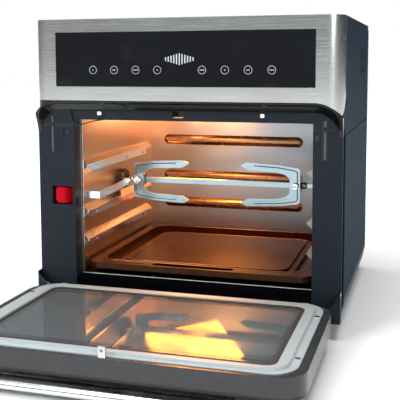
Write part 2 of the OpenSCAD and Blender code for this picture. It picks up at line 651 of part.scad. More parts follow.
module fork() {
    hole = spit_w + 0.8;
    difference() {
        union() {
            slab(-9.4, -7.4) fork_plate(0, 0);
            // pressed ridge that runs round the middle of the plate
            slab(-10.1, -9.2) difference() {
                fork_plate(3.2, 3.4);
                translate([fork_len - 18, -40]) square([30, 80]);
            }
            translate([-7, -7.4, -7]) cube([12.6, 14.4, 14]);
        }
        translate([-8, -hole / 2, -hole / 2]) cube([20, hole, hole]);
        rod_y(-12, 0, -1, 0, 2.55);
    }
}
module fork_left() color([0.7, 0.74, 0.77]) place() translate([fork_left_x, spit_y, spit_z]) fork();
module fork_right() color([0.7, 0.74, 0.77]) place() translate([fork_right_x, spit_y, spit_z])
    mirror([1, 0, 0]) fork();

module clamp_screw_left() color([0.8, 0.8, 0.82]) place() translate([fork_left_x - 1, spit_y, spit_z]) {
    rod_y(-11, -3.5, 0, 0, 2.5);
    difference() {
        translate([0, -14, 0]) rotate([0, 45, 0]) translate([-4.2, 0, -4.2]) cube([8.4, 3.8, 8.4]);
        translate([-1.6, -15, -1.6]) cube([3.2, 3, 3.2]);
    }
}
module clamp_screw_right() color([0.8, 0.8, 0.82]) place() translate([fork_right_x + 1, spit_y, spit_z]) {
    rod_y(-11, -3.5, 0, 0, 2.5);
    difference() {
        rod_y(-14, -10.4, 0, 0, 4.4);
        translate([-5, -15, -0.5]) cube([10, 2, 1]);
    }
}

module drive_socket() color([0.3, 0.3, 0.32]) place() difference() {
    union() {
        rod_x(128, 146.6, spit_y, spit_z, 7.5);
        rod_x(146, 171, spit_y, spit_z, 3);
    }
    translate([127, spit_y - 2.6, spit_z - 2.6]) cube([15, 5.2, 5.2]);
}

module release_lever() color([0.75, 0.03, 0.04]) place() {
    span([-168.5, lever_y, lever_z0 - 3.5], [-137.3, lever_y + 2, lever_z1 + 3.5]);
    // finger tab: square on the left, sloping back on the right
    intersection() {
        translate([0, 0, lever_z0]) linear_extrude(lever_z1 - lever_z0) polygon([[-159, lever_y], [-159, 0.4],
            [-158.2, -0.5], [-148, -0.5], [-146.4, 0.6], [-143.8, 4.4], [-140.5, lever_y]]);
        slab(-1, lever_y + 1) round_rect(-159, -140, lever_z0, lever_z1, 4);
    }
}

module release_arm() color([0.75, 0.76, 0.77]) place() {
    bar_z = [137.5, 145.5];
    span([-150, lever_y + 2, bar_z[0]], [-148.4, jamb_d + 5.2, bar_z[1]]);
    span([-149.5, jamb_d + 3.6, bar_z[0]], [-112.2, jamb_d + 5.2, bar_z[1]]);
    side_slab(-113.8, -112.2) polygon([[jamb_d + 3.6, bar_z[0]], [jamb_d + 3.6, bar_z[1]], [spit_y - 14, 149.2],
        [spit_y - 5.5, 149.2], [spit_y - 5.5, 140.5], [spit_y - 14, 140.5]]);
    rod_x(cup_face, -113.8, spit_y - 9, spit_z + 0.6, 2);
    rod_x(-112.2, -111.6, spit_y - 9, spit_z + 0.6, 3);
}

module spit_cup() color([0.03, 0.03, 0.03]) place() difference() {
    union() {
        translate([-134, spit_y, spit_z]) rotate([0, 90, 0])
            rotate_extrude() polygon([[0, 0], [6.6, 0], [6.6, 5.4], [9.4, 5.4], [9.4, 0], [13.5, 0], [13.5, 6.5],
                [12, 9], [0, 9]]);
        rod_x(-166, -133, spit_y, spit_z, 5);
    }
    rod_x(cup_face - 6, cup_face + 1, spit_y, spit_z, 3.8);
}

front_frame();
recess_trim();
steel_fascia();
control_glass();
control_board();
top_panel();
upper_panel_left();
upper_panel_right();
side_panel_left();
side_panel_right();
rear_cover();
base_pan();
feet();
cavity_wall_left();
cavity_wall_right();
cavity_rear();
cavity_ceiling();
cavity_floor();
rack_rails_left();
rack_rails_right();
rail_rivets();
heating_element();
fan_shroud();
fan_motor();
lamp_housing();
lamp_bulb();
lamp_glass();
spit_motor();
insulation();
temperature_probe();
cord_gland();
latch_catch();
door_bumpers();
door_switch();
hinge_brackets();
hinge_pins();
panel_screws();
release_guide();
release_spring();
door_frame();
door_outer_glass();
door_inner_panel();
door_inner_glass();
door_seal();
door_grip();
grip_posts();
door_strike();
hinge_lugs();
door_screws();
drip_tray();
spit_rod();
fork_left();
fork_right();
clamp_screw_left();
clamp_screw_right();
drive_socket();
release_lever();
release_arm();
spit_cup();
fan_rotor();
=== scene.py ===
# Rotisserie oven with its door down: looks, extra small pieces, light and camera.
import math

import bpy
import bmesh
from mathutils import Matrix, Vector


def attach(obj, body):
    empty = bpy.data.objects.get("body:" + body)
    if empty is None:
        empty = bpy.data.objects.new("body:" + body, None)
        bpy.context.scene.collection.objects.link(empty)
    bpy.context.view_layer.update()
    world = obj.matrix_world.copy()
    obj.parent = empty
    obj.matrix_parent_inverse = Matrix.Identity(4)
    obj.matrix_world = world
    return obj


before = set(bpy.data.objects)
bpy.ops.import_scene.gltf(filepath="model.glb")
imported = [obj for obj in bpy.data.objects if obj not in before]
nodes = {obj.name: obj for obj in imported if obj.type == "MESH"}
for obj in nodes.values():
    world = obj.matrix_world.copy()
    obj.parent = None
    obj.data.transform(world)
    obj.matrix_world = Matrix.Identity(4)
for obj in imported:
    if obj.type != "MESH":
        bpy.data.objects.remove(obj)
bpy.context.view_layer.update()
faceY = -0.044  # the front members' face in the oven's own frame
print("CAD frame loaded,", len(nodes), "nodes")


def at(x, y, z):
    # millimetres measured from the members' face, as the part is dimensioned
    return Vector((x / 1000, y / 1000 + faceY, z / 1000))


# shared effects: each gives only masks, shades and heights

def startGroup(name, inputs, outputs):
    group = bpy.data.node_groups.new(name, "ShaderNodeTree")
    for label, kind, value in inputs:
        socket = group.interface.new_socket(label, in_out="INPUT", socket_type=kind)
        socket.default_value = value
    for label, kind in outputs:
        group.interface.new_socket(label, in_out="OUTPUT", socket_type=kind)
    entry = group.nodes.new("NodeGroupInput")
    leave = group.nodes.new("NodeGroupOutput")
    return group, entry, leave


def feed(tree, socket, source):
    # a socket takes either another socket or a plain value
    if hasattr(source, "is_output"):
        tree.links.new(source, socket)
    else:
        socket.default_value = source


def mathNode(tree, operation, a, b=0.0):
    node = tree.nodes.new("ShaderNodeMath")
    node.operation = operation
    feed(tree, node.inputs[0], a)
    feed(tree, node.inputs[1], b)
    return node.outputs[0]


def remap(tree, value, low, high, toLow, toHigh):
    node = tree.nodes.new("ShaderNodeMapRange")
    for index, source in enumerate((value, low, high, toLow, toHigh)):
        feed(tree, node.inputs[index], source)
    return node.outputs[0]


def mixColour(tree, factor, first, second):
    node = tree.nodes.new("ShaderNodeMix")
    node.data_type = "RGBA"
    for index, source in ((0, factor), (6, first), (7, second)):
        if isinstance(source, tuple) and len(source) == 3:
            source = source + (1.0,)
        feed(tree, node.inputs[index], source)
    return node.outputs[2]


def noiseNode(tree, vector, scale, detail=2.0, roughness=0.5):
    node = tree.nodes.new("ShaderNodeTexNoise")
    feed(tree, node.inputs["Vector"], vector)
    feed(tree, node.inputs["Scale"], scale)
    node.inputs["Detail"].default_value = detail
    node.inputs["Roughness"].default_value = roughness
    return node.outputs[0]


def stretched(tree, vector, stretch):
    node = tree.nodes.new("ShaderNodeVectorMath")
    node.operation = "MULTIPLY"
    feed(tree, node.inputs[0], vector)
    feed(tree, node.inputs[1], stretch)
    return node.outputs[0]


def objectPlace(tree):
    return tree.nodes.new("ShaderNodeTexCoord").outputs["Object"]


def makeGrain():
    # moulding grain or orange peel, with a slow drift in shade
    group, entry, leave = startGroup(
        "surfaceGrain",
        [("Scale", "NodeSocketFloat", 900.0), ("Drift Scale", "NodeSocketFloat", 14.0)],
        [("Height", "NodeSocketFloat"), ("Drift", "NodeSocketFloat")])
    spot = objectPlace(group)
    group.links.new(noiseNode(group, spot, entry.outputs[0], 3.0, 0.6), leave.inputs[0])
    drift = noiseNode(group, spot, entry.outputs[1], 2.0)
    group.links.new(remap(group, drift, 0.3, 0.7, 0.0, 1.0), leave.inputs[1])
    return group


def makeStreaks():
    # fine parallel lines left by a brushing or rolling tool
    group, entry, leave = startGroup(
        "brushedStreaks",
        [("Stretch", "NodeSocketVector", (1.0, 60.0, 60.0)), ("Scale", "NodeSocketFloat", 30.0)],
        [("Streak", "NodeSocketFloat"), ("Height", "NodeSocketFloat"), ("Cloud", "NodeSocketFloat")])
    spot = objectPlace(group)
    lines = noiseNode(group, stretched(group, spot, entry.outputs[0]), entry.outputs[1], 4.0, 0.65)
    group.links.new(remap(group, lines, 0.32, 0.68, 0.0, 1.0), leave.inputs[0])
    group.links.new(lines, leave.inputs[1])
    cloud = noiseNode(group, spot, 9.0, 2.0)
    group.links.new(remap(group, cloud, 0.3, 0.7, 0.0, 1.0), leave.inputs[2])
    return group


def makeSmudges():
    # broken wipe marks and finger film
    group, entry, leave = startGroup(
        "wipeMarks",
        [("Scale", "NodeSocketFloat", 22.0), ("Cover", "NodeSocketFloat", 0.4)],
        [("Mask", "NodeSocketFloat")])
    spot = objectPlace(group)
    bent = stretched(group, spot, (1.0, 0.8, 1.4))
    film = noiseNode(group, bent, entry.outputs[0], 5.0, 0.62)
    edge = mathNode(group, "SUBTRACT", 0.72, mathNode(group, "MULTIPLY", entry.outputs[1], 0.34))
    group.links.new(remap(group, film, edge, mathNode(group, "ADD", edge, 0.12), 0.0, 1.0), leave.inputs[0])
    return group


def makeDust():
    # a thin film that lies on faces that look up
    group, entry, leave = startGroup(
        "settledDust",
        [("Scale", "NodeSocketFloat", 260.0), ("Amount", "NodeSocketFloat", 0.1)],
        [("Mask", "NodeSocketFloat")])
    geometry = group.nodes.new("ShaderNodeNewGeometry")
    split = group.nodes.new("ShaderNodeSeparateXYZ")
    group.links.new(geometry.outputs["Normal"], split.inputs[0])
    up = remap(group, split.outputs[2], 0.55, 1.0, 0.0, 1.0)
    specks = noiseNode(group, objectPlace(group), entry.outputs[0], 6.0, 0.7)
    cover = mathNode(group, "MULTIPLY", up, remap(group, specks, 0.4, 0.75, 0.25, 1.0))
    group.links.new(mathNode(group, "MULTIPLY", cover, entry.outputs[1]), leave.inputs[0])
    return group


def makeEdgeWear():
    # a mask for paler corners where cloths and hands rub
    group, entry, leave = startGroup(
        "rubbedEdges",
        [("Amount", "NodeSocketFloat", 0.3), ("Breakup", "NodeSocketFloat", 90.0)],
        [("Mask", "NodeSocketFloat")])
    geometry = group.nodes.new("ShaderNodeNewGeometry")
    corner = remap(group, geometry.outputs["Pointiness"], 0.52, 0.6, 0.0, 1.0)
    patchy = remap(group, noiseNode(group, objectPlace(group), entry.outputs[1], 4.0), 0.35, 0.7, 0.2, 1.0)
    rubbed = mathNode(group, "MULTIPLY", corner, patchy)
    group.links.new(mathNode(group, "MULTIPLY", rubbed, entry.outputs[0]), leave.inputs[0])
    return group


surfaceGrain = makeGrain()
brushedStreaks = makeStreaks()
wipeMarks = makeSmudges()
settledDust = makeDust()
rubbedEdges = makeEdgeWear()
print("shared effects built")


# finishes

def startMaterial(name):
    material = bpy.data.materials.new(name)
    material.use_nodes = True
    tree = material.node_tree
    tree.nodes.clear()
    out = tree.nodes.new("ShaderNodeOutputMaterial")
    shader = tree.nodes.new("ShaderNodeBsdfPrincipled")
    tree.links.new(shader.outputs[0], out.inputs[0])
    return material, tree, shader


def place(tree, group, **values):
    node = tree.nodes.new("ShaderNodeGroup")
    node.node_tree = group
    for label, value in values.items():
        node.inputs[label.replace("_", " ")].default_value = value
    return node.outputs


def bumpFrom(tree, shader, height, strength, distance):
    bump = tree.nodes.new("ShaderNodeBump")
    bump.inputs["Strength"].default_value = strength
    bump.inputs["Distance"].default_value = distance
    tree.links.new(height, bump.inputs["Height"])
    tree.links.new(bump.outputs[0], shader.inputs["Normal"])


def scaled(colour, by):
    return tuple(min(1.0, part * by) for part in colour)


def makePlastic(name, look):
    # moulded plastic, paint and rubber: grain, drift, wipe marks, dust and rubbed corners
    material, tree, shader = startMaterial(name)
    grain = place(tree, surfaceGrain, Scale=look["grain"], Drift_Scale=look.get("drift", 14.0))
    marks = place(tree, wipeMarks, Scale=look.get("markScale", 22.0), Cover=look.get("marks", 0.35))
    dust = place(tree, settledDust, Amount=look.get("dust", 0.05))
    rub = place(tree, rubbedEdges, Amount=look.get("rub", 0.25))
    base = mixColour(tree, grain["Drift"], scaled(look["colour"], 0.9), scaled(look["colour"], 1.12))
    base = mixColour(tree, rub["Mask"], base, scaled(look["colour"], look.get("rubTint", 2.2)))
    base = mixColour(tree, dust["Mask"], base, (0.42, 0.41, 0.39))
    tree.links.new(base, shader.inputs["Base Color"])
    smeared = min(1.0, look["rough"] + look.get("spread", 0.08))
    rough = remap(tree, marks["Mask"], 0.0, 1.0, look["rough"], smeared)
    rough = mathNode(tree, "ADD", rough, mathNode(tree, "MULTIPLY", dust["Mask"], 0.5))
    tree.links.new(rough, shader.inputs["Roughness"])
    bumpFrom(tree, shader, grain["Height"], look.get("bump", 0.2), look.get("depth", 0.00008))
    shader.inputs["Coat Weight"].default_value = look.get("coat", 0.0)
    shader.inputs["Coat Roughness"].default_value = look.get("coatRough", 0.05)
    shader.inputs["Specular IOR Level"].default_value = look.get("specular", 0.5)
    return material


def makeMetal(name, look):
    # bare metal with tool lines, a faint cloudiness and wipe marks
    material, tree, shader = startMaterial(name)
    lines = place(tree, brushedStreaks, Stretch=look.get("stretch", (1.0, 60.0, 60.0)),
                  Scale=look.get("scale", 30.0))
    marks = place(tree, wipeMarks, Scale=look.get("markScale", 16.0), Cover=look.get("marks", 0.4))
    streaky = mixColour(tree, lines["Streak"], scaled(look["colour"], 1.0 - look.get("contrast", 0.08)),
                        scaled(look["colour"], 1.0 + look.get("contrast", 0.08)))
    base = mixColour(tree, mathNode(tree, "MULTIPLY", lines["Cloud"], look.get("tintAmount", 0.35)),
                     streaky, look.get("tint", scaled(look["colour"], 0.86)))
    if "paintedGlow" in look:
        # painted warm glow, strongest towards the left and fading across the liner
        split = tree.nodes.new("ShaderNodeSeparateXYZ")
        tree.links.new(objectPlace(tree), split.inputs[0])
        warm = remap(tree, split.outputs[0], look["paintedGlowFrom"], look["paintedGlowTo"], 1.0, 0.0)
        base = mixColour(tree, warm, base, look["paintedGlow"])
    tree.links.new(base, shader.inputs["Base Color"])
    rough = remap(tree, lines["Streak"], 0.0, 1.0, look["rough"] - look.get("spread", 0.05),
                  look["rough"] + look.get("spread", 0.05))
    rough = mathNode(tree, "ADD", rough, mathNode(tree, "MULTIPLY", marks["Mask"], look.get("film", 0.06)))
    tree.links.new(rough, shader.inputs["Roughness"])
    shader.inputs["Metallic"].default_value = look.get("metallic", 1.0)
    shader.inputs["Anisotropic"].default_value = look.get("anisotropic", 0.0)
    bumpFrom(tree, shader, lines["Height"], look.get("bump", 0.08), look.get("depth", 0.00005))
    return material


def makeGlass(name, look):
    # glass keeps a plain transmission; only its roughness carries the wipe marks
    material, tree, shader = startMaterial(name)
    marks = place(tree, wipeMarks, Scale=look.get("markScale", 14.0), Cover=look.get("marks", 0.5))
    dust = place(tree, settledDust, Amount=look.get("dust", 0.05))
    base = mixColour(tree, dust["Mask"], look["colour"], scaled(look["colour"], 0.8))
    tree.links.new(base, shader.inputs["Base Color"])
    tree.links.new(remap(tree, marks["Mask"], 0.0, 1.0, look["rough"], look["rough"] + 0.07),
                   shader.inputs["Roughness"])
    shader.inputs["Transmission Weight"].default_value = look.get("clear", 1.0)
    shader.inputs["IOR"].default_value = look.get("ior", 1.5)
    return material


def dress(names, material):
    for name in names:
        for index in range(len(nodes[name].material_slots)):
            nodes[name].material_slots[index].link = "OBJECT"
            nodes[name].material_slots[index].material = material


memberPlastic = {"colour": (0.006, 0.011, 0.016), "rough": 0.48, "grain": 2400.0, "bump": 0.2, "marks": 0.2,
                 "dust": 0.02, "rub": 0.3, "specular": 0.2}
frontPlastic = makePlastic("front_plastic", memberPlastic)
dress(["front_frame"], frontPlastic)

lipPlastic = {"colour": (0.004, 0.0045, 0.006), "rough": 0.08, "grain": 300.0, "bump": 0.03, "marks": 0.3,
              "spread": 0.08, "dust": 0.0, "coat": 0.1, "rub": 0.1, "specular": 0.35}
glossTrim = makePlastic("gloss_trim", lipPlastic)
dress(["recess_trim", "latch_catch", "door_switch"], glossTrim)

fasciaSteel = {"colour": (0.64, 0.68, 0.67), "tint": (0.54, 0.49, 0.43), "rough": 0.24,
               "stretch": (0.6, 90.0, 90.0), "scale": 26.0, "contrast": 0.1, "anisotropic": 0.45,
               "bump": 0.1}
brushedFascia = makeMetal("fascia_steel", fasciaSteel)
dress(["steel_fascia", "door_grip"], brushedFascia)

panelGlass = {"colour": (0.006, 0.007, 0.009), "rough": 0.05, "grain": 120.0, "bump": 0.01, "marks": 0.55,
              "spread": 0.12, "dust": 0.0, "coat": 0.05, "rub": 0.0, "specular": 0.3}
blackGlass = makePlastic("black_glass", panelGlass)
dress(["control_glass"], blackGlass)

boardMask = {"colour": (0.01, 0.09, 0.035), "rough": 0.35, "grain": 700.0, "bump": 0.3, "drift": 80.0}
circuitBoard = makePlastic("circuit_board", boardMask)
dress(["control_board"], circuitBoard)

coverPaintLook = {"colour": (0.017, 0.031, 0.045), "rough": 0.62, "grain": 1500.0, "bump": 0.2, "marks": 0.25,
                  "dust": 0.02, "rub": 0.3, "specular": 0.02}
coverPaint = makePlastic("cover_paint", coverPaintLook)
dress(["top_panel", "upper_panel_left", "upper_panel_right", "side_panel_left", "side_panel_right"],
      coverPaint)

rearPaintLook = {"colour": (0.018, 0.021, 0.025), "rough": 0.5, "grain": 1300.0, "bump": 0.35, "dust": 0.06}
rearPaint = makePlastic("rear_paint", rearPaintLook)
dress(["rear_cover", "base_pan"], rearPaint)

footRubberLook = {"colour": (0.012, 0.012, 0.012), "rough": 0.75, "grain": 1100.0, "bump": 0.4, "dust": 0.1,
                  "specular": 0.3}
footRubber = makePlastic("foot_rubber", footRubberLook)
dress(["feet"], footRubber)

# the liner's warm tint towards the left is painted lamp glow
cavitySteelLook = {"colour": (0.46, 0.49, 0.53), "tint": (0.44, 0.44, 0.45), "rough": 0.34,
                   "stretch": (4.0, 4.0, 30.0), "scale": 8.0, "contrast": 0.02, "tintAmount": 0.2,
                   "marks": 0.4, "film": 0.03, "spread": 0.015, "bump": 0.01, "paintedGlow": (0.7, 0.5, 0.36),
                   "paintedGlowFrom": -0.14, "paintedGlowTo": 0.06}
cavitySteel = makeMetal("cavity_steel", cavitySteelLook)
dress(["cavity_wall_left", "cavity_wall_right", "cavity_rear", "cavity_ceiling"], cavitySteel)

floorEnamelLook = {"colour": (0.003, 0.0025, 0.002), "rough": 0.25, "grain": 400.0, "bump": 0.06,
                   "marks": 0.4, "specular": 0.05, "dust": 0.0}
floorEnamel = makePlastic("floor_enamel", floorEnamelLook)
dress(["cavity_floor"], floorEnamel)

railSteelLook = {"colour": (0.95, 0.94, 0.92), "rough": 0.2, "stretch": (60.0, 1.0, 60.0), "scale": 22.0,
                 "contrast": 0.05, "bump": 0.05}
railSteel = makeMetal("rail_steel", railSteelLook)
dress(["rack_rails_left", "rail_rivets", "release_arm"], railSteel)

# a darker copy of the rail steel for the right-hand rails: painted shade
railPaintedShadeLook = {"colour": (0.34, 0.3, 0.27), "rough": 0.36, "stretch": (60.0, 1.0, 60.0), "scale": 22.0,
                  "contrast": 0.05, "bump": 0.05}
railPaintedShade = makeMetal("rail_steel_painted_shade", railPaintedShadeLook)
dress(["rack_rails_right"], railPaintedShade)

heaterLook = {"colour": (0.2, 0.17, 0.16), "tint": (0.22, 0.12, 0.08), "rough": 0.48,
              "stretch": (20.0, 20.0, 20.0), "contrast": 0.15, "tintAmount": 0.7, "bump": 0.2}
heaterSheath = makeMetal("heater_sheath", heaterLook)
dress(["heating_element"], heaterSheath)

zincLook = {"colour": (0.6, 0.62, 0.64), "tint": (0.5, 0.5, 0.46), "rough": 0.34, "stretch": (9.0, 9.0, 9.0),
            "scale": 12.0, "contrast": 0.08, "tintAmount": 0.5, "bump": 0.06}
zincSteel = makeMetal("zinc_steel", zincLook)
dress(["fan_shroud", "fan_motor", "lamp_housing", "spit_motor", "hinge_brackets", "hinge_pins",
       "release_guide", "release_spring", "door_strike", "hinge_lugs", "temperature_probe"], zincSteel)

screwLook = {"colour": (0.74, 0.76, 0.8), "rough": 0.2, "stretch": (30.0, 30.0, 30.0), "contrast": 0.06,
             "bump": 0.05}
screwSteel = makeMetal("screw_steel", screwLook)
dress(["panel_screws", "door_screws", "clamp_screw_left", "clamp_screw_right"], screwSteel)

fanLook = {"colour": (0.76, 0.76, 0.78), "rough": 0.33, "stretch": (16.0, 16.0, 2.0), "contrast": 0.07,
           "bump": 0.08}
fanAluminium = makeMetal("fan_aluminium", fanLook)
dress(["fan_rotor"], fanAluminium)

spitLook = {"colour": (0.33, 0.43, 0.47), "tint": (0.27, 0.36, 0.4), "rough": 0.21,
            "stretch": (1.0, 50.0, 50.0), "scale": 30.0, "contrast": 0.06, "bump": 0.05}
spitSteel = makeMetal("spit_steel", spitLook)
dress(["spit_rod", "fork_left", "fork_right"], spitSteel)

doorSteelLook = {"colour": (0.5, 0.56, 0.58), "tint": (0.42, 0.48, 0.5), "rough": 0.42,
                 "metallic": 0.45, "stretch": (1.0, 60.0, 60.0),
                 "scale": 24.0, "contrast": 0.06, "bump": 0.06}
doorSteel = makeMetal("door_steel", doorSteelLook)
dress(["door_inner_panel"], doorSteel)

woolLook = {"colour": (0.62, 0.58, 0.48), "rough": 0.95, "grain": 500.0, "bump": 0.9, "depth": 0.0008,
            "drift": 40.0, "specular": 0.1}
mineralWool = makePlastic("mineral_wool", woolLook)
dress(["insulation"], mineralWool)

blackPlasticLook = {"colour": (0.008, 0.008, 0.009), "rough": 0.33, "grain": 1400.0, "bump": 0.18, "rub": 0.3}
blackPlastic = makePlastic("black_plastic", blackPlasticLook)
dress(["cord_gland", "grip_posts", "spit_cup", "drive_socket"], blackPlastic)

whiteSiliconeLook = {"colour": (0.85, 0.85, 0.83), "rough": 0.5, "grain": 900.0, "bump": 0.15, "rubTint": 1.0}
whiteSilicone = makePlastic("white_silicone", whiteSiliconeLook)
dress(["door_bumpers"], whiteSilicone)

sealLook = {"colour": (0.012, 0.012, 0.013), "rough": 0.55, "grain": 800.0, "bump": 0.2, "rub": 0.1}
sealSilicone = makePlastic("seal_silicone", sealLook)
dress(["door_seal"], sealSilicone)

doorPlasticLook = {"colour": (0.014, 0.016, 0.019), "rough": 0.26, "grain": 900.0, "bump": 0.1, "marks": 0.4,
                   "coat": 0.15}
doorPlastic = makePlastic("door_plastic", doorPlasticLook)
dress(["door_frame"], doorPlastic)

outerGlassLook = {"colour": (0.012, 0.013, 0.016), "rough": 0.04, "grain": 60.0, "bump": 0.01, "marks": 0.5,
                  "spread": 0.08, "coat": 0.05, "rub": 0.0, "specular": 0.3, "dust": 0.0}
doorGlass = makePlastic("door_glass", outerGlassLook)
dress(["door_outer_glass"], doorGlass)

innerGlassLook = {"colour": (0.62, 0.68, 0.7), "rough": 0.03, "clear": 0.9, "marks": 0.55}
innerGlass = makeGlass("inner_glass", innerGlassLook)
dress(["door_inner_glass"], innerGlass)

lampGlassLook = {"colour": (1.0, 0.95, 0.86), "rough": 0.18, "clear": 1.0}
lampGlass = makeGlass("lamp_cover_glass", lampGlassLook)
dress(["lamp_glass"], lampGlass)

# the strong rub pales the tray's step edges: rubbed wear, and in part a painted highlight
trayLook = {"colour": (0.03, 0.0085, 0.001), "rough": 0.24, "grain": 700.0, "bump": 0.08, "marks": 0.3,
            "spread": 0.04, "drift": 20.0, "coat": 0.05, "coatRough": 0.12, "rub": 0.6, "dust": 0.0,
            "specular": 0.32}
trayEnamel = makePlastic("tray_enamel", trayLook)
dress(["drip_tray"], trayEnamel)

leverLook = {"colour": (0.42, 0.0006, 0.008), "rough": 0.34, "grain": 500.0, "bump": 0.04, "rubTint": 1.3,
             "specular": 0.08, "dust": 0.0}
redPlastic = makePlastic("red_plastic", leverLook)
dress(["release_lever"], redPlastic)


def makeBulb(look):
    material, tree, shader = startMaterial("bulb_glass")
    hot = place(tree, surfaceGrain, Scale=look["grain"], Drift_Scale=60.0)
    glow = mixColour(tree, hot["Drift"], look["edge"], look["heart"])
    tree.links.new(glow, shader.inputs["Emission Color"])
    tree.links.new(mixColour(tree, hot["Drift"], look["glassEdge"], look["glassHeart"]),
                   shader.inputs["Base Color"])
    shader.inputs["Emission Strength"].default_value = look["strength"]
    shader.inputs["Roughness"].default_value = 0.15
    return material


bulbLook = {"grain": 300.0, "edge": (1.0, 0.5, 0.16), "heart": (1.0, 0.72, 0.36), "strength": 9.0,
            "glassEdge": (0.9, 0.8, 0.6), "glassHeart": (1.0, 0.9, 0.75)}
bulbGlass = makeBulb(bulbLook)
dress(["lamp_bulb"], bulbGlass)
print("finishes on", len(nodes), "nodes")


# softened edges on the pieces whose corners catch the light: width in metres, then pieces

edgeLook = {
    0.0006: ["spit_cup", "release_lever"],
    0.0004: ["door_grip", "clamp_screw_left", "clamp_screw_right"],
}


def softenEdges(name, width):
    piece = nodes[name]
    weld = piece.modifiers.new("joinVertices", "WELD")
    weld.merge_threshold = 0.00001
    bevel = piece.modifiers.new("softEdge", "BEVEL")
    bevel.width = width
    bevel.segments = 2
    bevel.limit_method = "ANGLE"
    bevel.angle_limit = math.radians(38)
    bevel.use_clamp_overlap = False
    piece.modifiers.new("evenNormals", "WEIGHTED_NORMAL").weight = 80


for width, names in edgeLook.items():
    for name in names:
        softenEdges(name, width)
print("edges softened")


# small pieces that the frame doesn't carry

def meshPiece(name, build, material, body):
    mesh = bpy.data.meshes.new(name)
    shape = bmesh.new()
    build(shape)
    bmesh.ops.recalc_face_normals(shape, faces=shape.faces)
    shape.to_mesh(mesh)
    shape.free()
    mesh.materials.append(material)
    piece = bpy.data.objects.new(name, mesh)
    bpy.context.scene.collection.objects.link(piece)
    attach(piece, body)
    return piece


def tubeAlong(shape, points, radius, sides=10):
    # a round bar through the given points, closed at both ends
    rings = []
    for index, point in enumerate(points):
        before = points[max(index - 1, 0)]
        after = points[min(index + 1, len(points) - 1)]
        along = (after - before).normalized()
        side = along.cross(Vector((0, 1, 0)))
        if side.length < 0.1:
            side = along.cross(Vector((0, 0, 1)))
        side.normalize()
        other = along.cross(side)
        ring = []
        for step in range(sides):
            turn = 2 * math.pi * step / sides
            ring.append(shape.verts.new(point + radius * (math.cos(turn) * side + math.sin(turn) * other)))
        rings.append(ring)
    for first, second in zip(rings, rings[1:]):
        for step in range(sides):
            after = (step + 1) % sides
            face = shape.faces.new((first[step], first[after], second[after], second[step]))
            face.smooth = True
    shape.faces.new(list(reversed(rings[0])))
    shape.faces.new(rings[-1])


# thin black wire that bows across the opening's upper left corner
cornerWire = {"points": [(-135.0, 3.0, 225.2), (-130.0, 3.0, 226.4), (-125.9, 3.0, 227.8),
                         (-119.3, 3.0, 230.2), (-111.6, 3.0, 232.2), (-104.0, 3.0, 233.4),
                         (-97.0, 3.2, 234.2)],
              "radius": 0.0007}


def buildCornerWire(shape):
    tubeAlong(shape, [at(*point) for point in cornerWire["points"]], cornerWire["radius"])


meshPiece("corner_wire", buildCornerWire, sealSilicone, "oven")

# folded front edge of the steel liner, given the brighter rail steel as a painted highlight so it shows as a
# bright line inside each jamb
linerFold = {"left": -134.0, "right": 147.5, "low": 46.4, "high": 239.6, "width": 2.3, "front": 18.05,
             "back": 18.9}


def addBlock(shape, low, high, ease=0.0):
    # a block between two corners, with all its edges eased
    made = bmesh.ops.create_cube(shape, size=1.0)["verts"]
    size = high - low
    for vert in made:
        vert.co = low + Vector(((vert.co[i] + 0.5) * size[i] for i in range(3)))
    if ease:
        edges = list({edge for vert in made for edge in vert.link_edges})
        bmesh.ops.bevel(shape, geom=edges, offset=ease, segments=2, affect="EDGES")


def buildLinerFold(shape):
    d = linerFold
    for x0, x1 in ((d["left"], d["left"] + d["width"]), (d["right"] - d["width"], d["right"])):
        addBlock(shape, at(x0, d["front"], d["low"]), at(x1, d["back"], d["high"]), 0.0002)


meshPiece("liner_fold", buildLinerFold, railSteel, "oven")

# black sheet over the sill as painted shade, with a near-white bead along its rear edge as a painted
# highlight
sillShadeAndBead = {"left": -133.7, "right": 147.2, "top": 46.12, "plate": 0.1, "front": -0.5, "back": 16.9,
             "drop": 12.2, "beadDepth": 1.8, "beadRise": 0.2}


def buildSillShade(shape):
    d = sillShadeAndBead
    addBlock(shape, at(d["left"], d["front"], d["top"] - d["plate"]),
             at(d["right"], d["back"], d["top"]), 0.0001)
    addBlock(shape, at(d["left"], d["front"], d["top"] - d["drop"]),
             at(d["right"], -0.02, d["top"] - 0.02), 0.0001)


def buildSillBead(shape):
    d = sillShadeAndBead
    # kept low enough for the tray to pass over
    addBlock(shape, at(d["left"], d["back"] + 0.1, d["top"] - 0.1),
             at(d["right"], d["back"] + d["beadDepth"], d["top"] + d["beadRise"]), 0.00008)


# black with no specular: painted shade where the sill sits in shadow
paintedShadeLook = {"colour": (0.002, 0.0022, 0.003), "rough": 0.35, "grain": 300.0, "bump": 0.03, "marks": 0.3,
            "rub": 0.1, "specular": 0.0, "dust": 0.0}
paintedShadeBlack = makePlastic("painted_shade_black", paintedShadeLook)
meshPiece("sill_painted_shade", buildSillShade, paintedShadeBlack, "oven")
# near-white, almost diffuse steel on the bead: painted highlight
beadHighlightLook = {"colour": (0.92, 0.92, 0.9), "rough": 0.3, "stretch": (1.0, 60.0, 60.0), "metallic": 0.1,
            "contrast": 0.04, "tintAmount": 0.1, "bump": 0.01}
meshPiece("sill_bead", buildSillBead, makeMetal("bead_painted_highlight", beadHighlightLook), "oven")


# dark joints between the mouldings, and black strips beside the raised ribs as painted shadow
jointAndShadowLines = {"proud": 0.12, "seams": [(-175.5, 226.9, -134.5, 227.9), (148.4, 226.9, 171.0, 227.9)],
              "shadows": [(-158.9, 194.0, -157.9, 238.0), (157.3, 194.0, 158.3, 238.2),
                          (162.7, 194.0, 163.5, 238.2)]}


